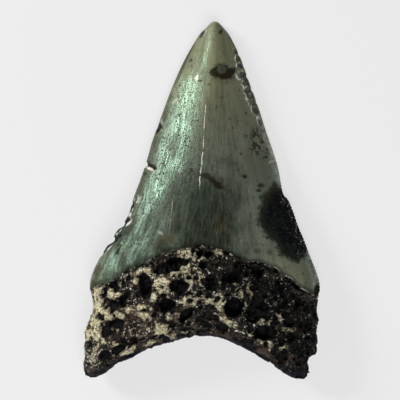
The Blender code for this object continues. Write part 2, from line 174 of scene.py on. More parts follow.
# The ragged strip flaked off along the left cutting edge: how wide it is at each height on the edge.
LEFT_STRIP = [
    (-15, 0), (-13.6, 1), (-12.2, 3), (-10.6, 2.4), (-9.5, 0.7), (-8, 2.7), (-5.6, 2.3), (-4.2, 0.5),
    (-2.4, 1.6), (-0.6, 1), (0.8, 0),
]
LEFT_STRIP_DEPTH = 0.4
SERRATION_PITCH_ROWS = 3  # a serration to every so many rows of the crown's grid
SERRATION_DEPTH_LEFT, SERRATION_DEPTH_RIGHT = 0.05, 0.17

# ---- the stage ----

FLOOR_COLOUR, FLOOR_GLOW = (0.2, 0.2, 0.2, 1), 3.19
FILL_SHARE = 0.69  # of the key light's power

# ---- resolution ----

FINE_COLUMNS = 312  # over the root; the crown has half as many
ROOT_ROWS, COLLAR_ROWS, CROWN_ROWS = 120, 12, 252
UNDERSIDE_COLUMNS, UNDERSIDE_ROOT_ROWS, UNDERSIDE_CROWN_ROWS = 84, 40, 62


# ---- curves and noise ----


def curve_through(points, share):
    """Places on the smooth curve through the points, at shares 0 to 1 of its length.

    Each stretch is a cubic whose end slopes are those of the parabola through the neighbouring points.
    """
    points = np.array(points, float)
    steps = np.linalg.norm(np.diff(points, axis=0), axis=1)
    knots = np.concatenate([[0], np.cumsum(steps)]) / steps.sum()
    slopes = np.gradient(points, knots, axis=0)
    first = np.clip(np.searchsorted(knots, share, side="right") - 1, 0, len(knots) - 2)
    length = (knots[first + 1] - knots[first])[..., None]
    u = (share - knots[first])[..., None] / length
    return (
        points[first] * (1 + 2 * u) * (1 - u) ** 2
        + slopes[first] * length * u * (1 - u) ** 2
        + points[first + 1] * u**2 * (3 - 2 * u)
        + slopes[first + 1] * length * u**2 * (u - 1)
    )


def rise(low, high, value):
    """0 below low, 1 above high, and an S-curve between."""
    u = np.clip((value - low) / (high - low), 0, 1)
    return u * u * (3 - 2 * u)


def fall(low, high, value):
    """1 below low, 0 above high, and an S-curve between."""
    return 1 - rise(low, high, value)


def lattice_random(cell, seed):
    """A number from 0 to 1 for each whole-number lattice point, hashed from its three coordinates."""
    cell = cell.astype(np.int64)
    mixed = cell[..., 0] * 73856093 ^ cell[..., 1] * 19349663 ^ cell[..., 2] * 83492791 ^ seed * 5915587277
    mixed = (mixed ^ (mixed >> 15)) * 2246822519 & 0xFFFFFFFF
    mixed = (mixed ^ (mixed >> 13)) * 3266489917 & 0xFFFFFFFF
    return ((mixed ^ (mixed >> 16)) & 0xFFFFFF) / 0xFFFFFF


def noise(points, size, seed):
    """Smooth noise from 0 to 1: random values on a cubic lattice of that size, blended with S-curves."""
    scaled = points / size
    cell = np.floor(scaled)
    within = scaled - cell
    within = within * within * (3 - 2 * within)
    total = np.zeros(points.shape[:-1])
    for corner in product((0, 1), repeat=3):
        weight = np.prod(np.where(np.array(corner) == 1, within, 1 - within), axis=-1)
        total += weight * lattice_random(cell + np.array(corner), seed)
    return total


def fractal(points, size, octaves, seed):
    """Noise from about 0 to 1 summed over octaves, each half the size and half the strength of the last."""
    total, reach = 0, 0
    for octave in range(octaves):
        total = total + noise(points, size / 2**octave, seed + octave) / 2**octave
        reach += 1 / 2**octave
    return total / reach


def scattered_bowls(points, size, seed, share):
    """How deep each point is, 0 to 1, in bowls of unlike size in about that share of a lattice's cells."""
    scaled = points / size
    cell = np.floor(scaled)
    deepest = np.zeros(points.shape[:-1])
    for offset in product((-1, 0, 1), repeat=3):
        there = cell + np.array(offset)
        place = np.stack([lattice_random(there, seed + axis) for axis in range(3)], axis=-1)
        chance = lattice_random(there, seed + 3)
        distance = np.linalg.norm(there + place - scaled, axis=-1)
        bowl = fall(0.2 + 0.2 * chance, 0.5 + 0.25 * chance, distance)
        deepest = np.maximum(deepest, bowl * rise(1 - share, 1.1 - share, chance))
    return deepest


def oval(points, x, y, half_length, half_width, turn):
    """How far out each point is from an oval seen from above: 0 at its middle and 1 on its edge."""
    turn = math.radians(turn)
    off_x, off_y = points[..., 0] - x, points[..., 1] - y
    along = (off_x * math.cos(turn) + off_y * math.sin(turn)) / half_length
    across = (off_y * math.cos(turn) - off_x * math.sin(turn)) / half_width
    return np.hypot(along, across)


# ---- the tooth's smooth form ----


def wiggle(points, share):
    """How far the curve through the points is from a gentle polynomial fitted to it, at each share."""
    even = np.linspace(0, 1, 200)
    curve = curve_through(points, even)
    gentle = [np.polyval(np.polyfit(even, curve[:, axis], GENTLE_DEGREE), share) for axis in (0, 1)]
    return curve_through(points, share) - np.stack(gentle, axis=-1)


def patch(bottom, top, left, right, along, across):
    """The plan of a four-sided patch, blended from its outline curves (a Coons patch).

    along runs from the bottom curve to the top one, and across from the left margin to the right one. Wiggles
    of the margins, which are what a gentle curve through them leaves over, die away towards the middle.
    """
    low, high = curve_through(bottom, across), curve_through(top, across)
    west, east = curve_through(left, along), curve_through(right, along)
    v, s = along[..., None], across[..., None]
    corner = [np.array(curve[end], float) for curve in (bottom, top) for end in (0, -1)]
    corners = (1 - v) * ((1 - s) * corner[0] + s * corner[1]) + v * ((1 - s) * corner[2] + s * corner[3])
    held = rise(0, 0.1, v) * fall(0.9, 1, v)
    wiggles = (1 - s - (1 - s) ** 9) * wiggle(left, along) + (s - s**9) * wiggle(right, along)
    return (1 - v) * low + v * high + (1 - s) * west + s * east - corners - held * wiggles


def from_crest(up, across):
    """How far out a place is from the crest: 0 on it, and 1 at either margin. The crest bends halfway up."""
    crest = CREST_SHARE_AT_BASE + (CREST_SHARE_AT_TIP - CREST_SHARE_AT_BASE) * rise(0.5, 0.75, up)
    return np.where(across < crest, (crest - across) / crest, (across - crest) / (1 - crest))


def crown_profile(out, up):
    """The crown's section, 1 at the crest and 0 at the edges: a keel by the tip, and a low dome by the base.

    Low on the crown, 1 - out^16 is blended in, a shoulder that rises steeply beside either margin.
    """
    steepest = math.hypot(1, KEEL_ROUNDING) - KEEL_ROUNDING
    roof = 1 - (np.hypot(out, KEEL_ROUNDING) - KEEL_ROUNDING) / steepest
    bulge = KEEL_BULGE * rise(0.5, 0.8, up)
    keel = (1 - bulge) * roof + bulge * (1 - out**2)
    dome = 1 - out**DOME_POWER
    share = rise(0.27, 0.43, up)
    shoulder = SHOULDER_SHARE * fall(0.2, 0.75, up)
    return shoulder * (1 - out**SHOULDER_POWER) + (1 - shoulder) * ((1 - share) * dome + share * keel)


def slab_profile(out, squareness):
    """A slab with round edges: flat in the middle, and upright where it meets the rim."""
    return np.sqrt(np.clip(1 - out**squareness, 0, 1))


def lumps(x, y):
    """The root's low swells, from crossed waves."""
    crossed = np.sin(-0.43 * x + 0.83 * y) * np.cos(0.52 * x + 0.8)
    return ROOT_LUMPS * (np.sin(0.61 * x + 0.37 * y + 1) + crossed)


def crown_heights(u, across):
    """(upper face, lower face) heights over the crown. u is 0 at the enamel line and 1 at the tip."""
    out = from_crest(u, across)
    rim = RIM_AT_SHOULDERS + (RIM_AT_TIP - RIM_AT_SHOULDERS) * u**0.8
    crest = CROWN_HEIGHT_AT_TIP + (CROWN_HEIGHT_AT_BASE - CROWN_HEIGHT_AT_TIP) * (1 - u) ** CREST_POWER
    closing = np.sqrt(1 - rise(1 - TIP_ROUNDING / CROWN_LENGTH, 1, u) ** 2)
    worn = RESTING_DEPTH * rise(0.35, 0.55, u) * fall(0.86, 0.97, u)
    floor = ARCH_CLEARANCE * fall(0, 0.45, u) - worn
    upper = rim + crest * crown_profile(out, u) * closing
    lower = rim - (rim - floor) * (1 - out**UNDERSIDE_POWER) * closing
    return upper, lower


def root_heights(plan, u, across):
    """(upper face, lower face) heights over the root. u is 0 at the base arch and 1 at the enamel line."""
    x, y = plan[..., 0], plan[..., 1]
    out = from_crest(0, across)
    rim = RIM_AT_BASE + (RIM_AT_SIDES - RIM_AT_BASE) * rise(0, 0.4, u)
    rim = rim + (RIM_AT_SHOULDERS - RIM_AT_SIDES) * rise(0.6, 1, u)
    closing = np.sqrt(1 - (1 - np.clip(u * ROOT_LENGTH / BASE_ROUNDING, 0, 1)) ** 2)
    joined = rise(0.25, 1, u)
    off_x, off_y = (x - SWELLING_PLACE[0]) / SWELLING_SIZE[0], (y - SWELLING_PLACE[1]) / SWELLING_SIZE[1]
    swelling = ROOT_SWELLING * np.exp(-(off_x**2) - off_y**2)
    slab = ROOT_LOBE_HEIGHT * slab_profile(out, SLAB_POWER)
    crown = CROWN_HEIGHT_AT_BASE * crown_profile(out, 0)
    height = (1 - joined) * slab + joined * crown + (swelling + lumps(x, y)) * (1 - out**4)
    upper = rim + height * closing
    lobes = rise(9, 17, np.abs(x)) * fall(0.3, 0.75, u)
    floor = ARCH_CLEARANCE * (1 - lobes) - RESTING_DEPTH * lobes
    slab_underside = slab_profile(out, SLAB_UNDERSIDE_POWER)
    underside = (1 - joined) * slab_underside + joined * (1 - out**UNDERSIDE_POWER)
    lower = rim - (rim - floor) * underside * closing
    return upper, lower


def eased(steps, start, end):
    """Steps from 0 to 1 whose spacing falls to nothing over a zone at each end: parabola, line, parabola."""
    whole = 1 - start / 2 - end / 2
    rising = np.where(steps < start, steps**2 / (2 * start), steps - start / 2)
    falling = whole - (1 - steps) ** 2 / (2 * end)
    return np.where(steps > 1 - end, falling, rising) / whole


def smooth_form(along, across, above):
    """Points of the smooth form. along is -1 at the base arch, 0 at the enamel line and 1 at the tip."""
    up_root, up_crown = np.clip(along + 1, 0, 1), np.clip(along, 0, 1)
    root_plan = patch(BASE_ARCH, ENAMEL_LINE, LEFT_ROOT_MARGIN, RIGHT_ROOT_MARGIN, up_root, across)
    crown_plan = patch(ENAMEL_LINE, TIP_ARC, LEFT_CROWN_MARGIN, RIGHT_CROWN_MARGIN, up_crown, across)
    side = 0 if above else 1
    root_z, crown_z = root_heights(root_plan, up_root, across)[side], crown_heights(up_crown, across)[side]
    in_root = along < 0
    plan = np.where(in_root[..., None], root_plan, crown_plan)
    return np.concatenate([plan, np.where(in_root, root_z, crown_z)[..., None]], axis=-1)


# ---- the carved surface ----


def bitten(form, along, row_number):
    """The form with its cutting edges bitten and serrated: each row is pulled in from its ends, in plan.

    A bite is a cusp, 1 - |q|^1.5 over its length, and a serration is one row in every few. The pull dies away
    as a bell curve from the edge inwards.
    """
    left, right = form[:, :1, :2], form[:, -1:, :2]
    width = np.linalg.norm(right - left, axis=-1, keepdims=True)
    inward = (right - left) / width
    pulled = form.copy()
    on_crown = rise(-0.02, 0.02, along[:, :1])
    notch = np.where(row_number % SERRATION_PITCH_ROWS == 0, 1, 0)[:, None]
    sharp = fall(0, 6, right[..., 1])
    right_depth = SERRATION_DEPTH_LEFT + (SERRATION_DEPTH_RIGHT - SERRATION_DEPTH_LEFT) * sharp
    sides = ((left, LEFT_BITES, SERRATION_DEPTH_LEFT, 1), (right, RIGHT_BITES, right_depth, -1))
    for edge, bites, depth, direction in sides:
        away = np.linalg.norm(form[..., :2] - edge, axis=-1)
        serration = notch * depth * on_crown * np.exp(-((away / 0.4) ** 2))
        bite = np.zeros_like(away)
        for height, half, deep in bites:
            cusp = 1 - np.abs((edge[..., 1] - height) / half) ** 1.5
            bite = np.maximum(bite, deep * np.clip(cusp, 0, 1) * np.exp(-((away / 1.3) ** 2)))
        pulled[..., :2] += direction * inward * np.maximum(serration, bite)[..., None]
    return pulled


def outward_of(form):
    """Unit normals of a grid of points, from the cross product of its two directions."""
    normal = np.cross(np.gradient(form, axis=1), np.gradient(form, axis=0))
    return normal / np.maximum(np.linalg.norm(normal, axis=-1, keepdims=True), 1e-12)


def within_outline(points, outline):
    """How far each point is inside a closed outline seen from above: below 0 outside it."""
    nearest = np.full(points.shape[:-1], 99)
    inside = np.zeros(points.shape[:-1], bool)
    x, y = points[..., 0], points[..., 1]
    for (x0, y0), (x1, y1) in zip(outline, outline[1:] + outline[:1]):
        run_x, run_y = x1 - x0, y1 - y0
        share = np.clip(((x - x0) * run_x + (y - y0) * run_y) / (run_x**2 + run_y**2), 0, 1)
        nearest = np.minimum(nearest, np.hypot(x - x0 - share * run_x, y - y0 - share * run_y))
        crossed = ((y0 > y) != (y1 > y)) & (x < x0 + run_x * (y - y0) / (run_y or 1))
        inside ^= crossed
    return np.where(inside, nearest, -nearest)


def enamel_edge_distance(form, along):
    """How far each point is up the crown from the enamel's ragged lower edge, in millimetres."""
    ragged = 1.3 * (noise(form, 3, 31) - 0.5) + 0.35 * (noise(form, 0.9, 32) - 0.5)
    return np.where(along < 0, along * ROOT_LENGTH, along * CROWN_LENGTH) + ragged


def root_relief(form, edge, above):
    """(height along the normal, depth of hollows, crust from 0 to 1) over the root.

    Each boring is a bowl with steep ragged walls. Small pits are scattered on a lattice, and grain is fractal
    noise. Crust is laid where its patches, ragged by noise, are not hollow.
    """
    warp = 1.1 * (fractal(form, 1.8, 3, 41) - 0.5)
    hollow = np.zeros(form.shape[:-1])
    patches = np.full(form.shape[:-1], -1)
    if above:
        for *shape, deep in BORINGS:
            out = oval(form, *shape) + warp * 0.55
            hollow = np.maximum(hollow, deep * fall(0.65, 1.08, out))
        for *shape, strength in CRUST_PATCHES:
            patches = np.maximum(patches, strength * (1.35 - oval(form, *shape)))
    for size, seed, share, deep in ((3, 51, 0.22, 0.9), (1.6, 52, 0.36, 0.6), (0.9, 53, 0.5, 0.3)):
        hollow = hollow + deep * scattered_bowls(form + warp[..., None], size, seed, share)
    crust_field = np.clip(patches, -0.3, 0.8) + 1.8 * (fractal(form, 0.9, 2, 62) - 0.5)
    crust = rise(-0.15, 0.75, crust_field) * fall(0.25, 0.6, hollow)
    grain = 0.22 * (fractal(form, 0.9, 3, 71) - 0.5) + 0.5 * (fractal(form, 4.5, 2, 72) - 0.5)
    below_enamel = ENAMEL_STEP * np.exp(-((np.minimum(edge, 0) / 2.2) ** 2))
    height = grain + CRUST_THICKNESS * crust * (0.4 + 1.2 * noise(form, 0.55, 63)) - hollow - below_enamel
    return height, hollow, crust


def crown_relief(form, above):
    """(height along the normal, depth of flake scars, their pale rims, how far inside the bare patch).

    The scars are bowls with sharp rims, pale on the crest's side. A strip low on the left edge, as wide as
    its table says at each height and ragged by noise, is sunk like them. The enamel swells slowly, and the
    bare patch is sunk and pitted.
    """
    height = 0.16 * (fractal(form * (1, 0.45, 1), 5, 3, 81) - 0.5)
    scar, chip = np.zeros(form.shape[:-1]), np.zeros(form.shape[:-1])
    bare = np.full(form.shape[:-1], -9)
    if above:
        bare = within_outline(form, BARE_PATCH) + 0.9 * (fractal(form, 1.6, 3, 83) - 0.5)
        pitted = 0.1 * (fractal(form, 0.9, 2, 84) - 0.5)
        height = height + rise(-0.2, 0.5, bare) * (pitted - BARE_DEPTH)
        warp = 0.6 * (fractal(form, 0.9, 2, 82) - 0.5)
        for x, y, half_length, half_width, turn, deep in FLAKE_SCARS:
            out = oval(form, x, y, half_length, half_width, turn) + warp
            scar = np.maximum(scar, deep * np.clip(1 - out**2, 0, 1))
            crestward = (form[..., 0] - x) * np.sign(CREST_X - x) / half_length
            rim = np.exp(-(((out - 0.95) / 0.17) ** 2)) * np.clip(0.2 + 1.6 * crestward, 0, 1)
            rim = rim * rise(0.38, 0.6, noise(form, 0.7, 85)) * (1 if x > 0 else 0.5)
            chip = np.maximum(chip, rim)
        edge = form[:, :1]
        width = np.interp(edge[..., 1], *np.array(LEFT_STRIP).T)
        reach = rise(0, 0.6, width)
        width = width + 2.2 * warp
        inside = width - np.linalg.norm(form[..., :2] - edge[..., :2], axis=-1)
        scar = np.maximum(scar, LEFT_STRIP_DEPTH * reach * rise(0, 0.5, inside))
        rim = np.exp(-(((inside + 0.4) / 0.7) ** 2)) * rise(0.46, 0.56, fractal(form, 1.3, 3, 87))
        chip = np.maximum(chip, rim * reach * 0.8)
    return height - scar, scar, chip, bare


def carved(along, across, row_number, above):
    """(points, attributes) of one sheet: the smooth form, bitten, then raised or sunk along its normals."""
    form = bitten(smooth_form(along, across, above), along, row_number)
    normal = outward_of(form) * (1 if above else -1)
    edge = enamel_edge_distance(form, along)
    root_height, hollow, crust = root_relief(form, edge, above)
    crown_height, scar, chip, bare = crown_relief(form, above)
    on_crown = rise(-0.12, 0.12, edge)
    rim_fade = rise(0, 0.03, np.minimum(across, 1 - across))
    height = on_crown * crown_height * rim_fade + (1 - on_crown) * root_height
    points = form + normal * height[..., None]
    points[..., 2] = np.clip(points[..., 2], 0, None)
    grain = np.stack([across * 60, along * CROWN_LENGTH, np.full_like(along, 0 if above else 50)], axis=-1)
    base_edge = (along + 1) * ROOT_LENGTH
    attributes = {
        "enamel_edge": edge, "hollow": hollow, "crust": crust, "scar": scar, "chip": chip, "bare": bare,
        "grain": grain, "base_edge": base_edge,
    }
    return points, attributes


# ---- the mesh ----


def quads(numbers):
    """Four-sided faces between neighbours of a grid of vertex numbers, anticlockwise with rows going up."""
    corners = [numbers[:-1, :-1], numbers[:-1, 1:], numbers[1:, 1:], numbers[1:, :-1]]
    return np.stack(corners, axis=-1).reshape(-1, 4)


def halving_strip(fine, coarse):
    """Triangles from a row of vertices up to one with half as many cells: three to each coarse cell."""
    near, middle, far = fine[:-2:2], fine[1:-1:2], fine[2::2]
    left, right = coarse[:-1], coarse[1:]
    return np.concatenate([
        np.stack([near, middle, left], axis=-1),
        np.stack([middle, right, left], axis=-1),
        np.stack([middle, far, right], axis=-1),
    ])


def boundary(grids, alongs):
    """(vertex numbers, places from 0 to 4) round stacked grids: up the left, over, down the right, back."""
    left, right = (np.concatenate([grid[:, end] for grid in grids]) for end in (0, -1))
    up = (np.concatenate([along[:, 0] for along in alongs]) + 1) / 2
    base, top = grids[0][0], grids[-1][-1]
    over, back = np.linspace(1, 2, len(top)), np.linspace(3, 4, len(base))
    loop = np.concatenate([left[:-1], top[:-1], right[:0:-1], base[:0:-1]])
    return loop, np.concatenate([up[:-1], over[:-1], 3 - up[:0:-1], back[:-1]])


def zipped(upper, upper_place, lower, lower_place):
    """Triangles that join two loops of unlike counts, by stepping along whichever loop comes next."""
    upper_next, lower_next = np.roll(upper, -1), np.roll(lower, -1)
    upper_end, lower_end = np.append(upper_place[1:], 4), np.append(lower_place[1:], 4)
    facing_lower = lower[np.maximum(np.searchsorted(lower_place, upper_end, side="left") - 1, 0)]
    facing_upper = np.searchsorted(upper_place, lower_end, side="right") - 1
    reached = np.where(lower_end >= 4, 0, facing_upper)
    steps_above = np.stack([upper, upper_next, facing_lower], axis=-1)
    steps_below = np.stack([upper[reached], lower_next, lower], axis=-1)
    return np.concatenate([steps_above, steps_below])


def upper_sheet():
    """Blocks of (row parameters, points, attributes) of the upper face: fine, then half as fine."""
    root_rows = eased(np.linspace(0, 1, ROOT_ROWS + 1), 0.25, 1e-6) - 1
    crown_rows = eased(np.linspace(0, 1, COLLAR_ROWS + CROWN_ROWS + 1), 1e-6, 0.03)
    rows = np.concatenate([root_rows[:-1], crown_rows])
    split = ROOT_ROWS + COLLAR_ROWS + 1
    blocks = []
    for part, columns in ((slice(0, split), FINE_COLUMNS), (slice(split, None), FINE_COLUMNS // 2)):
        along = rows[part, None] * np.ones(columns + 1)
        even = np.linspace(0, 1, columns + 1) * np.ones_like(along)
        crowding = 0.35 + 0.65 * fall(-0.1, 0.2, along)
        across = (1 - crowding) * even + crowding * eased(even, 0.14, 0.14)
        numbers = np.arange(len(rows))[part] - ROOT_ROWS
        blocks.append((along, *carved(along, across, numbers, True)))
    return blocks


def lower_sheet():
    """(row parameters, points, attributes) of the underside. It stops just short of the rim all round."""
    root_rows = eased(np.linspace(0, 1, UNDERSIDE_ROOT_ROWS + 1), 0.2, 1e-6) * 0.995 - 0.995
    crown_rows = np.linspace(0, 0.997, UNDERSIDE_CROWN_ROWS + 1)
    rows = np.concatenate([root_rows[:-1], crown_rows])
    even = np.linspace(0, 1, UNDERSIDE_COLUMNS + 1)
    along = rows[:, None] * np.ones_like(even)
    inset = np.where(along < 0, 0.002, 0.006)
    across = inset + (1 - 2 * inset) * eased(even, 0.12, 0.12)
    return (along, *carved(along, across, np.ones(len(rows)), False))


def tooth_mesh(name):
    """One closed mesh: two upper blocks, the strip between them, the underside and the seam round the rim."""
    alongs, sheets, facts = zip(*upper_sheet(), lower_sheet())
    sizes = [along.size for along in alongs]
    fine, coarse, under = (
        np.arange(size).reshape(along.shape) + first
        for along, size, first in zip(alongs, sizes, np.cumsum([0] + sizes))
    )
    seam = zipped(*boundary((fine, coarse), alongs[:2]), *boundary((under,), alongs[2:]))
    faces = np.concatenate([quads(fine), quads(coarse), quads(under)[:, ::-1]]).tolist()
    faces += np.concatenate([halving_strip(fine[-1], coarse[0]), seam]).tolist()
    mesh = bpy.data.meshes.new(name)
    mesh.from_pydata(np.concatenate([sheet.reshape(-1, 3) for sheet in sheets]) * MM, [], faces)
    for fact in facts[0]:
        values = np.concatenate([sheet[fact].reshape(size, -1) for sheet, size in zip(facts, sizes)])
        kind, field = ("FLOAT_VECTOR", "vector") if values.shape[1] == 3 else ("FLOAT", "value")
        mesh.attributes.new(fact, kind, "POINT").data.foreach_set(field, values.astype(np.float32).ravel())
    mesh.shade_smooth()
    mesh.update()
    return mesh


# ---- shader maths ----


class Signal:
    """A socket of a material's node tree. Arithmetic between signals and numbers adds Math nodes."""

    def __init__(self, nodes, socket):
        self.nodes, self.socket = nodes, socket

    def maths(self, operation, first, second):
        return self.nodes.add("ShaderNodeMath", {"operation": operation}, {0: first, 1: second})

    def __add__(self, other):
        return self.maths("ADD", self, other)

    def __sub__(self, other):
        return self.maths("SUBTRACT", self, other)

    def __rsub__(self, other):
        return self.maths("SUBTRACT", other, self)

    def __mul__(self, other):
        return self.maths("MULTIPLY", self, other)

    __radd__, __rmul__ = __add__, __mul__

    def larger(self, other):
        return self.maths("MAXIMUM", self, other)

    def smaller(self, other):
        return self.maths("MINIMUM", self, other)

    def rise(self, low, high):
        """0 below low, 1 above high, and an S-curve between."""
        ends = {"Value": self, "From Min": low, "From Max": high}
        return self.nodes.add("ShaderNodeMapRange", {"interpolation_type": "SMOOTHSTEP"}, ends)

    def fall(self, low, high):
        """1 below low, 0 above high, and an S-curve between."""
        return 1 - self.rise(low, high)


class Nodes:
    """Builds one node tree."""

    def __init__(self, owner):
        owner.use_nodes = True
        self.tree = owner.node_tree
        self.tree.nodes.clear()

    def add(self, kind, settings=None, inputs=None, output=0):
        """One output of a new node of that kind, given its settings and its sockets' values or links."""
        node = self.tree.nodes.new(kind)
        for name, value in (settings or {}).items():
            setattr(node, name, value)
        for name, value in (inputs or {}).items():
            if isinstance(value, Signal):
                self.tree.links.new(value.socket, node.inputs[name])
            else:
                node.inputs[name].default_value = value
        return Signal(self, node.outputs[output]) if len(node.outputs) else None

    def attribute(self, name, output="Fac"):
        return self.add("ShaderNodeAttribute", {"attribute_name": name}, output=output)

    def place(self):
        """Object coordinates in millimetres."""
        return self.scaled(self.add("ShaderNodeTexCoord", output="Object"), (1 / MM, 1 / MM, 1 / MM))

    def scaled(self, vector, factors):
        return self.add("ShaderNodeVectorMath", {"operation": "MULTIPLY"}, {0: vector, 1: factors})

    def shifted(self, vector, offset):
        return self.add("ShaderNodeVectorMath", {"operation": "ADD"}, {0: vector, 1: offset})

    def part(self, vector, axis):
        return self.add("ShaderNodeSeparateXYZ", inputs={0: vector}, output=axis)

    def noise(self, vector, size, detail=4, roughness=0.6):
        """Fractal noise from 0 to 1 whose largest features are about size millimetres."""
        values = {"Vector": vector, "Scale": 1 / size, "Detail": detail, "Roughness": roughness}
        return self.add("ShaderNodeTexNoise", inputs=values)

    def mix(self, share, first, second):
        """A colour from first to second as share goes from 0 to 1."""
        return self.add("ShaderNodeMix", {"data_type": "RGBA"}, {0: share, 6: first, 7: second}, output=2)

    def coated(self, base, *coats):
        """The base colour under coats, each a share from 0 to 1 and its colour, laid on in turn."""
        for share, colour in coats:
            base = self.mix(share, base, colour)
        return base

    def spot(self, place, oval, low, high, ragged=0):
        """1 within an oval seen from above, falling to 0 between low and high. Its edge is at 1."""
        x, y, half_length, half_width, turn = oval
        turned = {"Vector": self.shifted(place, (-x, -y, 0)), "Angle": -math.radians(turn)}
        turned = self.add("ShaderNodeVectorRotate", {"rotation_type": "Z_AXIS"}, turned)
        flat = self.scaled(turned, (1 / half_length, 1 / half_width, 0))
        out = self.add("ShaderNodeVectorMath", {"operation": "LENGTH"}, {0: flat}, output="Value")
        return (out + ragged).fall(low, high)

    def spots(self, place, table, low, high, ragged):
        """The sum of a table's spots, each times its strength."""
        total = 0
        for *oval, strength in table:
            total = self.spot(place, oval, low, high, ragged) * strength + total
        return total

    def bump(self, height, distance):
        return self.add("ShaderNodeBump", inputs={"Height": height, "Distance": distance * MM})

    def finish(self, sockets, dull_share=0, dull_sockets=None):
        """Links the output to a Principled shader, or to a blend of it with a dull one."""
        surface = self.add("ShaderNodeBsdfPrincipled", inputs=sockets)
        if dull_sockets:
            dull = self.add("ShaderNodeBsdfPrincipled", inputs=dull_sockets)
            surface = self.add("ShaderNodeMixShader", inputs={0: dull_share, 1: surface, 2: dull})
        self.add("ShaderNodeOutputMaterial", inputs={"Surface": surface})


# ---- finishes: spots as place, half length, half width, turn in degrees, strength ----

# Dark mineral stains on the enamel.
ENAMEL_STAINS = [
    (3.7, 34.6, 1.4, 1.3, 0, 1), (6, 33.6, 2.6, 1, 0, 0.9), (8, 34.8, 1.5, 1, 20, 1),
    (5.4, 35.3, 1.8, 1.6, 0, 0.8), (6, 34.1, 4.4, 2.6, 0, 0.35), (-10.8, 19.9, 0.5, 0.4, 0, 0.8),
    (5.2, 45.6, 0.9, 0.5, 50, 0.8), (-2.8, 37.9, 0.5, 0.5, 0, 0.7), (-0.4, 32.2, 0.5, 0.4, 0, 0.8),
    (1.9, 6.2, 2, 0.9, -40, 0.8), (4.3, 4.2, 1.9, 1, -40, 1), (-2.8, 5.8, 0.5, 0.5, 0, 0.5),
    (11.6, 6.4, 0.8, 0.7, 0, 0.9), (16, 4, 1, 0.7, 20, 0.8), (15.4, 2.7, 0.8, 0.5, 0, 0.8),
    (12, 17.3, 0.6, 0.5, 0, 0.5), (7.6, 22, 0.5, 0.4, 0, 0.5), (10.6, 12.5, 0.5, 0.5, 0, 0.5),
    (14.9, -13.6, 1, 0.8, 0, 0.5), (18.2, -13.9, 0.9, 0.7, 0, 0.5), (-22.3, -13.2, 1.9, 0.6, 78, 0.9),
    (-15.3, 7.2, 0.6, 0.5, 0, 0.7), (0.4, 45.1, 1.3, 0.5, 58, 0.7), (31.7, -24.8, 2.8, 1, 85, 1.2),
    (-2.6, 8, 0.9, 0.5, -40, 0.7), (0, 6.6, 1.2, 0.6, -30, 0.5),
]
# Dark olive shadows low on the crown's left.
LEFT_SHADOWS = [
    (-20.6, -8.6, 5.6, 1.5, 50, 0.9), (-27.6, -18.9, 2.2, 1.2, 60, 0.9), (-21, -15.6, 3.6, 1.1, 70, 0.6),
    (-11, -11.8, 4.2, 2.6, 30, 0.9), (-7, -7, 4, 2, 65, 0.5), (-14.5, -6, 3.5, 0.8, 70, 0.6),
    (-29, -22.8, 1, 1.6, 0, 0.8),
]
# Small pale chips in the enamel, some of them painted glints.
PALE_CHIPS_AND_GLINTS = [
    (-1.3, 33, 0.5, 0.9, -10, 1), (-7.1, 27, 1.2, 0.5, 42, 0.3), (-13.9, 8.5, 1.2, 0.45, -25, 0.9),
    (-10.9, -8.8, 0.8, 0.5, -30, 0.25), (19.1, 10.5, 1.4, 0.5, 20, 0.3), (17.2, 16.8, 1.6, 0.6, -60, 0.25),
    (18.7, 13.6, 2, 0.6, -65, 0.3),
]
# Rusty brown ground in the root.
BROWN_PATCHES = [
    (-15.5, -31, 3.8, 2.2, 0, 1), (-5, -29.6, 2.8, 1.8, 50, 1), (-16.3, -35.2, 4.6, 2.2, 15, 1),
    (-0.7, -32.6, 3, 2.2, 0, 1), (-26.6, -37.4, 2, 1.3, 0, 1), (-23.5, -42, 2.2, 1.5, 0, 1),
    (5, -34.8, 6.5, 2.4, -12, 1), (15.5, -39.6, 5, 1.6, -38, 1), (24.5, -43, 2, 1.6, 0, 1),
    (20, -33, 2, 1.6, 0, 1),
]
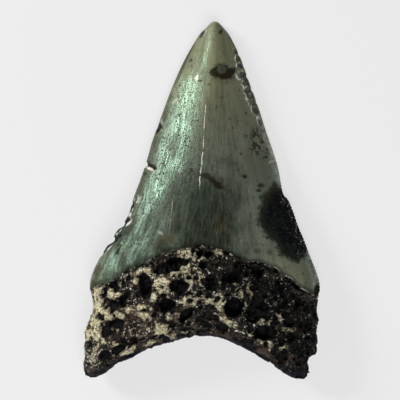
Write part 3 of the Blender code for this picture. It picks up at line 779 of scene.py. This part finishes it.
# Each colour: where it lies, then its linear red, green and blue.
COLOURS = {
    "enamel": ("Olive-grey of the crown", 0.125, 0.138, 0.105),
    "enamel_tip": ("Paler olive of the enamel near the tip", 0.195, 0.19, 0.108),
    # Painted shade low in the crown's middle, and the darker tone of the olive shadows and blotches elsewhere
    # on the enamel.
    "enamel_dark": ("Dark grey low in the crown's middle", 0.017, 0.018, 0.014),
    "enamel_green": ("Greener enamel low on the left", 0.043, 0.063, 0.045),
    # Painted highlight: pale green on the crown's left flank, where the reflection of the light lies.
    "bloom": ("Pale green bloom on the left of the crown", 0.216, 0.288, 0.209),
    "enamel_brown": ("Browner enamel along the margins", 0.063, 0.053, 0.03),
    "streak": ("Dark streaks along the crown", 0.025, 0.03, 0.022),
    "streak_pale": ("Grey streaks in the dark enamel", 0.052, 0.058, 0.052),
    "disc": ("Grey disc in the stain near the tip", 0.072, 0.078, 0.054),
    # Painted highlight of the cream line down the crest on a fine crack, and the colour of the pale chips and
    # glints.
    "hairline": ("Cream crack along the crest", 0.78, 0.7, 0.6),
    "chip": ("Pale broken enamel in the flake scars", 0.8, 0.8, 0.72),
    "flake": ("Dark blue-grey inside the flake scars", 0.06, 0.064, 0.066),
    # The stain colour is also painted as shade along the enamel's lower edge.
    "stain": ("Dark mineral stains on the enamel", 0.013, 0.009, 0.004),
    "patch": ("The bare black patch on the crown", 0.005, 0.005, 0.006),
    "patch_grit": ("Blue-grey grains in the black patch", 0.022, 0.026, 0.028),
    "patch_cloud": ("Olive clouds in the black patch", 0.013, 0.017, 0.013),
    "patch_edge": ("Dark olive round the black patch", 0.016, 0.019, 0.011),
    # Painted glints on the crust, the root's ground and the bare patch.
    "glint": ("Small white specks on the patch and the root", 1, 0.98, 0.84),
    "sheen": ("Tint of the enamel's reflections", 0.6, 1, 0.72),
    "root": ("Near-black of the root", 0.005, 0.004, 0.003),
    "root_brown": ("Brown clouds in the root", 0.062, 0.037, 0.026),
    "root_pale": ("Paler grains in the root", 0.115, 0.094, 0.072),
    # Partly painted shade: the hollows are blacker than the root around them.
    "root_pit": ("The hollows' black", 0.001, 0.001, 0.001),
    "base_edge": ("Blue-black of the root's base edge", 0.008, 0.008, 0.016),
    "rust": ("Orange-brown round the crust", 0.17, 0.075, 0.03),
    "crust": ("Cream crust on the root", 0.86, 0.77, 0.45),
    "crust_tan": ("Browner crust", 0.27, 0.215, 0.125),
}


def cracks_and_glints(nodes, place, warped):
    """Painted highlights: the broken cream line down the crest where a fine crack catches the light, a
    fainter one beside it, and the small pale chips, some of them painted glints.

    Each crack is where the squared distance beside a slanting line is near nothing. Noise bends the first.
    """
    x, y = nodes.part(place, "X"), nodes.part(place, "Y")
    lengthwise = nodes.scaled(place, (0, 1, 0))
    bends = nodes.noise(nodes.shifted(lengthwise, (9, 0, 0)), 4, 3)
    broken = nodes.noise(lengthwise, 3.2, 3, 0.7).rise(0.4, 0.55)
    beside = x - (y - 2.8) * 0.077 + 0.57 + (bends - 0.5) * 0.9
    half_width = 0.034 - y.rise(8, 24) * 0.022
    first = (beside * beside).fall(0, half_width) * y.rise(2, 6) * y.fall(24, 28)
    beside = x - (y + 4) * 0.105 + 8.1
    second = (beside * beside).fall(0, 0.02) * y.rise(-9.5, -8) * y.fall(0, 1.5)
    glinting_cracks = (first * broken).larger(second * broken * 0.3)
    return glinting_cracks.larger(nodes.spots(place, PALE_CHIPS_AND_GLINTS, 0.4, 1.2, warped))


def paint_enamel(material, colours):
    """Glossy olive enamel: paler to the tip, darker low in the middle as painted shade, streaked along the
    tooth, and stained.

    A pale green painted highlight and olive shadows lie on its left. Painted shade darkens it along its lower
    edge, and a painted highlight runs down the crest as a broken cream line on a fine crack.
    Flake scars are dark with pale rims, and the bare patch and the lower right edge fade into it darkly.
    Stains and scars are matt, and the rest has a mint sheen.
    """
    nodes = Nodes(material)
    place = nodes.place()
    x, y = nodes.part(place, "X"), nodes.part(place, "Y")
    grain = nodes.attribute("grain", "Vector")

    def drawn_out(stretch, size, detail=4, roughness=0.7):
        """Noise drawn out along the tooth."""
        return nodes.noise(nodes.scaled(grain, (1, stretch, 1)), size, detail, roughness)

    from_left = nodes.part(grain, "X")
    from_right = 60 - from_left
    lip = nodes.attribute("enamel_edge")
    polish = 1 - y.rise(14, 34).larger(from_right.fall(5, 26)) * 0.8
    streaks, fine_streaks = drawn_out(0.12, 1.3), drawn_out(0.1, 0.5, 3)
    mottle, crackle = nodes.noise(place, 6), nodes.noise(place, 0.8, 3, 0.7)
    blots = nodes.noise(nodes.shifted(place, (40, 0, 0)), 1.6, 3)
    warped = nodes.noise(place, 0.9, 4, 0.7) * 1.6 - 0.8
    # Painted shade: the enamel darker low in the crown's middle, where it also gets dashes and matt patches.
    dark = nodes.spot(place, (1.2, -6, 15, 21, 0), 0.2, 1, mottle - 0.5)
    low_left = nodes.spot(place, (-18.5, -14, 14.5, 8, 42), 0.4, 1.1)
    # Where the pale green highlight is painted on the left flank.
    bloom = low_left.larger(nodes.spot(place, (-5.6, 22, 9, 4.5, 70), 0.5, 1.1))
    shadow = nodes.spots(place, LEFT_SHADOWS, 0.4, 1.3, blots * 1.6 - 0.8).smaller(1)
    margin = from_left.fall(2, 7).larger(nodes.spot(place, (5, -6.5, 3.5, 4, 0), 0.2, 1.1, mottle - 0.5))
    dashes = drawn_out(0.22, 1.1, 4, 0.65).rise(0.5, 0.56)
    clouds = drawn_out(0.3, 2)
    specks = nodes.noise(nodes.shifted(place, (0, 40, 0)), 0.55, 3).rise(0.57, 0.63)
    specks = specks * (1 - x.rise(-3, 4) * 0.7)
    base = nodes.coated(
        nodes.mix(y.rise(4, 44), colours.enamel, colours.enamel_tip),
        (nodes.spot(place, (24, -20, 9, 6, -30), 0.3, 1.1) * 0.45, colours.enamel_tip),
        # painted shade low in the middle
        (dark, colours.enamel_dark),
        (low_left * 0.6, colours.enamel_green),
        (margin * mottle.rise(0.25, 0.6), colours.enamel_brown),
        (streaks.rise(0.48, 0.62) * (0.3 + dark * 0.4) * polish, colours.streak),
        (dashes * dark * 0.8, colours.stain),
        (fine_streaks.rise(0.5, 0.62) * 0.45 * polish, colours.streak),
        (fine_streaks.fall(0.36, 0.45) * (0.15 + dark * 0.6), colours.streak_pale),
        (crackle.rise(0.54, 0.68) * 0.5 * polish, colours.streak),
        (blots.rise(0.6, 0.7) * 0.6, colours.stain),
        (drawn_out(0.3, 5, 3, 0.6).rise(0.5, 0.65) * (1 - dark) * 0.35, colours.enamel_brown),
        # painted highlight: pale green clouds on the left flank, with dark blotches among them
        (clouds.rise(0.48, 0.58) * bloom * 0.7, colours.bloom),
        (clouds.fall(0.38, 0.48) * bloom * 0.6, colours.enamel_dark),
        (specks * polish.larger(bloom) * 0.9, colours.streak),
        (shadow * 0.85, nodes.mix(mottle.rise(0.4, 0.6), colours.enamel_dark, colours.enamel_brown)),
    )
    netted = nodes.noise(place, 1.4, 4, 0.65).rise(0.47, 0.53)
    stain = nodes.spots(place, ENAMEL_STAINS, 0.5, 1.3, warped)
    stain = nodes.spot(place, (16.2, 15.2, 5.6, 3.2, -70), 0.6, 1.1) * netted * 0.8 + stain
    flaked = nodes.attribute("scar").rise(0.03, 0.15)
    broken_face = nodes.coated(
        nodes.mix(x.fall(-2, 2), colours.flake, colours.patch),
        (crackle.rise(0.46, 0.58) * 0.8, colours.streak),
    )
    disc = nodes.spot(place, (5.4, 35.3, 1.4, 1.4, 0), 0.8, 1.05, warped * 0.2)
    soot = (nodes.attribute("bare") + (blots - 0.5) * 3 + (crackle - 0.5) * 2).rise(-1.6, -0.1)
    worn_edge = from_right.fall(0.8, 4.5) * y.rise(2, 6) * y.fall(20, 24)
    corner = nodes.spot(place, (31.6, -25.2, 3.4, 1.7, 85), 0.6, 1.1, warped)
    torn = lip.fall(0.1, 0.4) * blots.rise(0.46, 0.58)
    base = nodes.coated(
        base,
        (stain.smaller(0.95), colours.stain),
        (flaked * (0.6 + blots.rise(0.4, 0.6) * 0.4), broken_face),
        (disc * (1 - crackle.rise(0.5, 0.6) * 0.6), colours.disc),
        (soot * 0.9, colours.patch_edge),
        (from_right.fall(0.6, 2) * y.fall(2, 6),
         nodes.mix(crackle.rise(0.52, 0.6) * 0.35, colours.patch, colours.chip)),
        (nodes.attribute("chip") * (1 - x.rise(28, 30) * 0.8), colours.chip),
        (worn_edge * blots.rise(0.4, 0.56) * 0.2, colours.chip),
        (corner, nodes.mix(crackle.rise(0.55, 0.62), colours.patch, colours.root_brown)),
        # Painted shade along the enamel's lower edge, in the stain colour.
        (lip.fall(0.3, 1.6) * 0.8, colours.stain),
        (torn * (0.15 + x.rise(0, 8) * 0.2), colours.chip),
        # Painted highlight: the cream line down the crest on a fine crack, with pale chips and painted
        # glints.
        (cracks_and_glints(nodes, place, warped), colours.hairline),
    )
    dull = nodes.noise(nodes.scaled(place, (1, 0.5, 1)), 4.5)
    shiny_strip = 2 + (y - 42) * 0.17
    beside = (shiny_strip - x).larger((x - shiny_strip) * 1.3)
    dulled = nodes.spot(place, (-4, -0.6, 13, 6.4, 62), 0.8, 1.1, mottle * 0.6 - 0.3)
    dulled = dulled.larger(nodes.spot(place, (-7.2, 14.8, 4, 1.4, 80), 0.3, 1.4, warped) * 0.6)
    roughness = (
        0.29 - y.rise(28, 36) * 0.07 + dull.rise(0.45, 0.62) * 0.1
        + drawn_out(0.28, 0.8).rise(0.5, 0.58) * 0.22 + beside.rise(0.4, 1.5) * y.rise(32, 38) * 0.35
        + low_left * 0.1 + shadow * 0.4 + lip.fall(0.3, 2.2) * 0.4
        + from_left.fall(2, 7) * y.rise(-8, -2) * 0.3 + drawn_out(0.15, 1.2).rise(0.5, 0.6) * 0.2
        + flaked * 0.4 + dulled * 0.35 + specks * 0.5 + corner * 0.6
    )
    relief = fine_streaks * 0.1 + streaks * 0.17 + dull * 1.1 - specks * 0.05
    glossy = {
        "Base Color": base,
        "Roughness": roughness,
        "IOR": 1.58,
        "Specular IOR Level": 0.44,
        "Specular Tint": colours.sheen,
        "Normal": nodes.bump(relief, 0.2),
    }
    matt = stain.larger(soot).larger(corner).larger(flaked * x.fall(-2, 2))
    matt = matt.larger(dark * (0.3 + dashes * 0.5)).larger(shadow * 0.4).larger(specks * bloom * 0.7)
    dull_sockets = {"Base Color": base, "Roughness": 0.8, "Specular IOR Level": 0}
    nodes.finish(glossy, matt.smaller(1) * 0.75, dull_sockets)


def paint_root(material, colours):
    """Near-black porous root: brown in places, blacker in hollows, partly as painted shade, with lacy cream
    crust rusty at its edges.

    The crust lies along the veins of a noise, in thin threads where there is little of it and whole patches
    where there is much, its brightest grains painted as glints.
    Pale specks, some painted as glints, thin out to the right. The base edge is blue-black.
    """
    nodes = Nodes(material)
    place = nodes.place()
    x, y = nodes.part(place, "X"), nodes.part(place, "Y")
    hollow, crust = nodes.attribute("hollow"), nodes.attribute("crust")
    from_arch, below = nodes.attribute("base_edge"), nodes.attribute("enamel_edge")
    mottle, grit = nodes.noise(place, 4), nodes.noise(place, 0.6, 5, 0.8)
    dots = nodes.noise(nodes.shifted(place, (50, 0, 0)), 0.45, 2, 0.5)
    beads = nodes.noise(nodes.shifted(place, (0, 0, 50)), 0.75, 2)
    clusters = nodes.noise(nodes.shifted(place, (0, 70, 0)), 3.5, 3).rise(0.5, 0.58)
    shade = nodes.noise(nodes.shifted(place, (0, 0, 20)), 2.4, 5, 0.7).rise(0.42, 0.56)
    from_vein = nodes.noise(nodes.shifted(place, (0, 30, 0)), 1, 5, 0.8) - 0.5
    from_vein = from_vein.larger(0 - from_vein)
    left = x.fall(-22, 26)
    open_ground = hollow.fall(0.2, 0.6)
    lobe = nodes.spot(place, (-27.5, -43, 6.5, 4.5, 20), 0.5, 1.1, mottle - 0.5)
    brown = mottle.rise(0.42, 0.6) * (0.08 + left * left * 0.9)
    brown = nodes.spots(place, BROWN_PATCHES, 0.4, 1.3, mottle - 0.5) + brown
    pale = grit.rise(0.48, 0.6) * (0.04 + left * left * 0.9).larger(brown * 0.6)
    rust = crust.rise(0.05, 0.25) * crust.fall(0.4, 0.8) * nodes.noise(place, 2.2, 3).rise(0.5, 0.62)
    cream = nodes.coated(
        nodes.mix(grit.rise(0.38, 0.47), colours.crust_tan, colours.crust),
        (beads.rise(0.44, 0.6) * 0.6, colours.crust_tan),
        # painted glints on the crust's brightest grains
        (dots.rise(0.5, 0.62) * 0.7, colours.glint),
    )
    amount = crust * (0.085 + left * 0.045) * (1 - lobe * 0.6) * (left * 1.4).larger(from_arch.rise(0.5, 3.5))
    crusted = (amount - from_vein - 0.004).rise(0, 0.014) * (1 - grit.rise(0.53, 0.57) * 0.95)
    stray = dots.rise(0.67, 0.71).larger(beads.rise(0.6, 0.64) * clusters)
    stray = stray.larger(lobe * dots.rise(0.57, 0.62) * 0.7) * open_ground * from_arch.rise(1, 4)
    stray = stray * (1 - x.rise(8, 20) * mottle.fall(0.5, 0.62) * 0.75)
    fibres = nodes.add("ShaderNodeCombineXYZ", inputs={0: x * 0.15, 1: below})
    fibres = nodes.noise(fibres, 0.5, 3).rise(0.55, 0.6) * below.rise(-3, -1) * x.rise(-4, 4)
    base_edge = from_arch.fall(0.6, 1.4).larger(y.fall(-47.5, -44) * 0.8)
    base = nodes.coated(
        colours.root,
        ((brown * (0.4 + grit * 1.2)).smaller(1), colours.root_brown),
        (pale, colours.root_pale),
        (rust * (0.3 + left) * 0.8, colours.rust),
        # black in the hollows, partly painted shade, and in dark clouds of the ground
        ((hollow.rise(0.3, 0.9) + shade * 0.8).smaller(1), colours.root_pit),
        (crusted, cream),
        # stray specks, partly pale grains and partly painted glints
        (stray, nodes.mix(grit.rise(0.4, 0.5), colours.crust_tan, colours.glint)),
        (fibres * 0.6, colours.root_pale),
        (base_edge * (1 - grit.rise(0.5, 0.6) * 0.5), colours.base_edge),
    )
    wet = dots.rise(0.54, 0.64) * (1 - crusted) * open_ground * (1 - shade * 0.8) * from_arch.rise(1, 3)
    relief = grit * 1.6 + nodes.noise(place, 1.3, 3) * 1.2 + crusted
    nodes.finish({
        "Base Color": base,
        "Roughness": 0.6,
        "Specular IOR Level": 0.1,
        "Coat Weight": wet * (1 - x.rise(12, 26) * 0.6),
        "Coat Roughness": 0.16,
        "Normal": nodes.bump(relief * (0.3 + open_ground), 0.3),
    })


def paint_bare_patch(material, colours):
    """Black and finely pitted, glossy in places, with white specks painted as glints, where the enamel is
    lost.
    """
    nodes = Nodes(material)
    place = nodes.place()
    y = nodes.part(place, "Y")
    mottle, dots = nodes.noise(place, 1.5, 4, 0.65), nodes.noise(place, 0.45, 2, 0.5)
    clouds = nodes.noise(nodes.shifted(place, (0, 25, 0)), 2.6, 4, 0.65)
    margin = nodes.part(nodes.attribute("grain", "Vector"), "X").rise(53, 59)
    depth = nodes.attribute("bare") + (mottle - 0.5) * 4
    base = nodes.coated(
        colours.patch_edge,
        (y.rise(-4, 4) * 0.5, colours.enamel_brown),
        (depth.rise(0, 2), colours.patch),
        (clouds.rise(0.5, 0.6) * (0.35 + y.fall(-12, -6) * 0.5), colours.patch_cloud),
        (nodes.noise(place, 0.6, 4, 0.7).rise(0.5, 0.6) * 0.6, colours.patch_grit),
        # painted glints along the patch's right margin
        (dots.rise(0.65, 0.69) * margin * mottle.rise(0.46, 0.58), colours.glint),
    )
    nodes.finish({
        "Base Color": base,
        "Roughness": 0.6,
        "Specular IOR Level": 0,
        "Coat Weight": mottle.rise(0.5, 0.7) * 0.5,
        "Coat Roughness": 0.2,
        "Normal": nodes.bump(mottle + dots * 0.5, 0.1),
    })


# ---- the add-on ----


class ToothColours(bpy.types.PropertyGroup):
    """The tooth's colours."""

    __annotations__ = {
        name: bpy.props.FloatVectorProperty(
            name=name.replace("_", " ").capitalize(), description=words, default=(*rgb, 1),
            size=4, min=0, max=1, subtype="COLOR",
        )
        for name, (words, *rgb) in COLOURS.items()
    }


class ToothSizes(bpy.types.PropertyGroup):
    """The stage's sizes."""

    floor_width: bpy.props.FloatProperty(
        name="Floor width", description="Side of the square floor", default=6, min=0.5, unit="LENGTH"
    )
    key_power: bpy.props.FloatProperty(
        name="Key light", description="Radiant power of the large soft light", default=8, min=0, unit="POWER"
    )


def corner_values(mesh, name):
    """An attribute's value at each face's first corner."""
    starts, corners = np.zeros(len(mesh.polygons), np.int32), np.zeros(len(mesh.loops), np.int32)
    values = np.zeros(len(mesh.vertices), np.float32)
    mesh.polygons.foreach_get("loop_start", starts)
    mesh.loops.foreach_get("vertex_index", corners)
    mesh.attributes[name].data.foreach_get("value", values)
    return values[corners[starts]]


def add_object(name, data):
    thing = bpy.data.objects.new(name, data)
    bpy.context.scene.collection.objects.link(thing)
    return thing


class BuildTooth(bpy.types.Operator):
    """Builds the tooth's skin in place of its CAD solid, and paints its enamel and root"""

    bl_idname = "fossil.build_tooth"
    bl_label = "Tooth"
    bl_options = {"REGISTER", "UNDO"}

    def execute(self, context):
        mesh = tooth_mesh("fossil_tooth")
        for name, paint in (("enamel", paint_enamel), ("root", paint_root), ("bare patch", paint_bare_patch)):
            material = bpy.data.materials.new(name)
            paint(material, context.scene.tooth_colours)
            mesh.materials.append(material)
        edge, bare = corner_values(mesh, "enamel_edge"), corner_values(mesh, "bare")
        slot = np.where(edge < 0, 1, np.where(bare > 0, 2, 0))
        mesh.polygons.foreach_set("material_index", slot.astype(np.int32))
        tooth = add_object("fossil_tooth", mesh)
        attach(tooth, "root")
        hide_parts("tooth")
        return {"FINISHED"}


class BuildStage(bpy.types.Operator):
    """Lays the pale floor, and sets the lights, the sky and the camera over the tooth"""

    bl_idname = "fossil.build_stage"
    bl_label = "Stage"
    bl_options = {"REGISTER", "UNDO"}

    def execute(self, context):
        sizes = context.scene.tooth_sizes
        half = sizes.floor_width / 2
        mesh = bpy.data.meshes.new("floor")
        corners = [(-half, -half, 0), (half, -half, 0), (half, half, 0), (-half, half, 0)]
        mesh.from_pydata(corners, [], [(0, 1, 2, 3)])
        paint = bpy.data.materials.new("floor paint")
        Nodes(paint).finish({
            "Base Color": FLOOR_COLOUR,
            "Roughness": 0.9,
            "Emission Color": FLOOR_COLOUR,
            "Emission Strength": FLOOR_GLOW,
            "Specular IOR Level": 0.1,
        })
        mesh.materials.append(paint)
        floor = add_object("floor", mesh)
        soft_light("key", (-0.69, 0.385, 0.37), 0.25, sizes.key_power)
        soft_light("fill", (0.12, -0.55, 0.66), 0.5, sizes.key_power * FILL_SHARE)
        paint_sky(context.scene)
        optics = bpy.data.cameras.new("camera")
        optics.lens, optics.sensor_width = 200, 36
        camera = add_object("camera", optics)
        camera.location = (-0.4 * MM, 0.07 * MM, 0.605)
        context.scene.camera = camera
        context.scene.view_settings.view_transform = "Standard"
        return {"FINISHED"}


def soft_light(name, place, width, power):
    """A square light at place, in metres, turned to face the tooth."""
    lamp = bpy.data.lights.new(name, "AREA")
    lamp.shape, lamp.size, lamp.energy = "SQUARE", width, power
    light = add_object(name, lamp)
    light.location = place
    light.rotation_euler = (-Vector(place)).to_track_quat("-Z", "Y").to_euler()


def paint_sky(scene):
    """A pale sky near the horizon that darkens overhead."""
    scene.world = bpy.data.worlds.new("sky")
    nodes = Nodes(scene.world)
    up = nodes.part(nodes.add("ShaderNodeTexCoord", output="Generated"), "Z")
    colour = nodes.mix(up.rise(0.02, 0.25), (0.8, 0.8, 0.8, 1), (0.035, 0.035, 0.035, 1))
    background = nodes.add("ShaderNodeBackground", inputs={"Color": colour})
    nodes.add("ShaderNodeOutputWorld", inputs={"Surface": background})


class ToothPanel(bpy.types.Panel):
    """Lists the operators that build the tooth and its stage"""

    bl_idname = "VIEW3D_PT_fossil_tooth"
    bl_label = "Megalodon tooth"
    bl_space_type = "VIEW_3D"
    bl_region_type = "UI"
    bl_category = "Tooth"

    def draw(self, context):
        for operator in (BuildTooth, BuildStage):
            self.layout.operator(operator.bl_idname)
        for group in (context.scene.tooth_colours, context.scene.tooth_sizes):
            for name in group.bl_rna.properties.keys():
                if name not in ("name", "rna_type"):
                    self.layout.prop(group, name)


CLASSES = (ToothColours, ToothSizes, BuildTooth, BuildStage, ToothPanel)


def register():
    for cls in CLASSES:
        bpy.utils.register_class(cls)
    bpy.types.Scene.tooth_colours = bpy.props.PointerProperty(type=ToothColours)
    bpy.types.Scene.tooth_sizes = bpy.props.PointerProperty(type=ToothSizes)


def unregister():
    del bpy.types.Scene.tooth_sizes
    del bpy.types.Scene.tooth_colours
    for cls in reversed(CLASSES):
        bpy.utils.unregister_class(cls)


def main():
    register()
    bpy.ops.fossil.build_tooth()
    bpy.ops.fossil.build_stage()


if __name__ == "__main__":
    main()
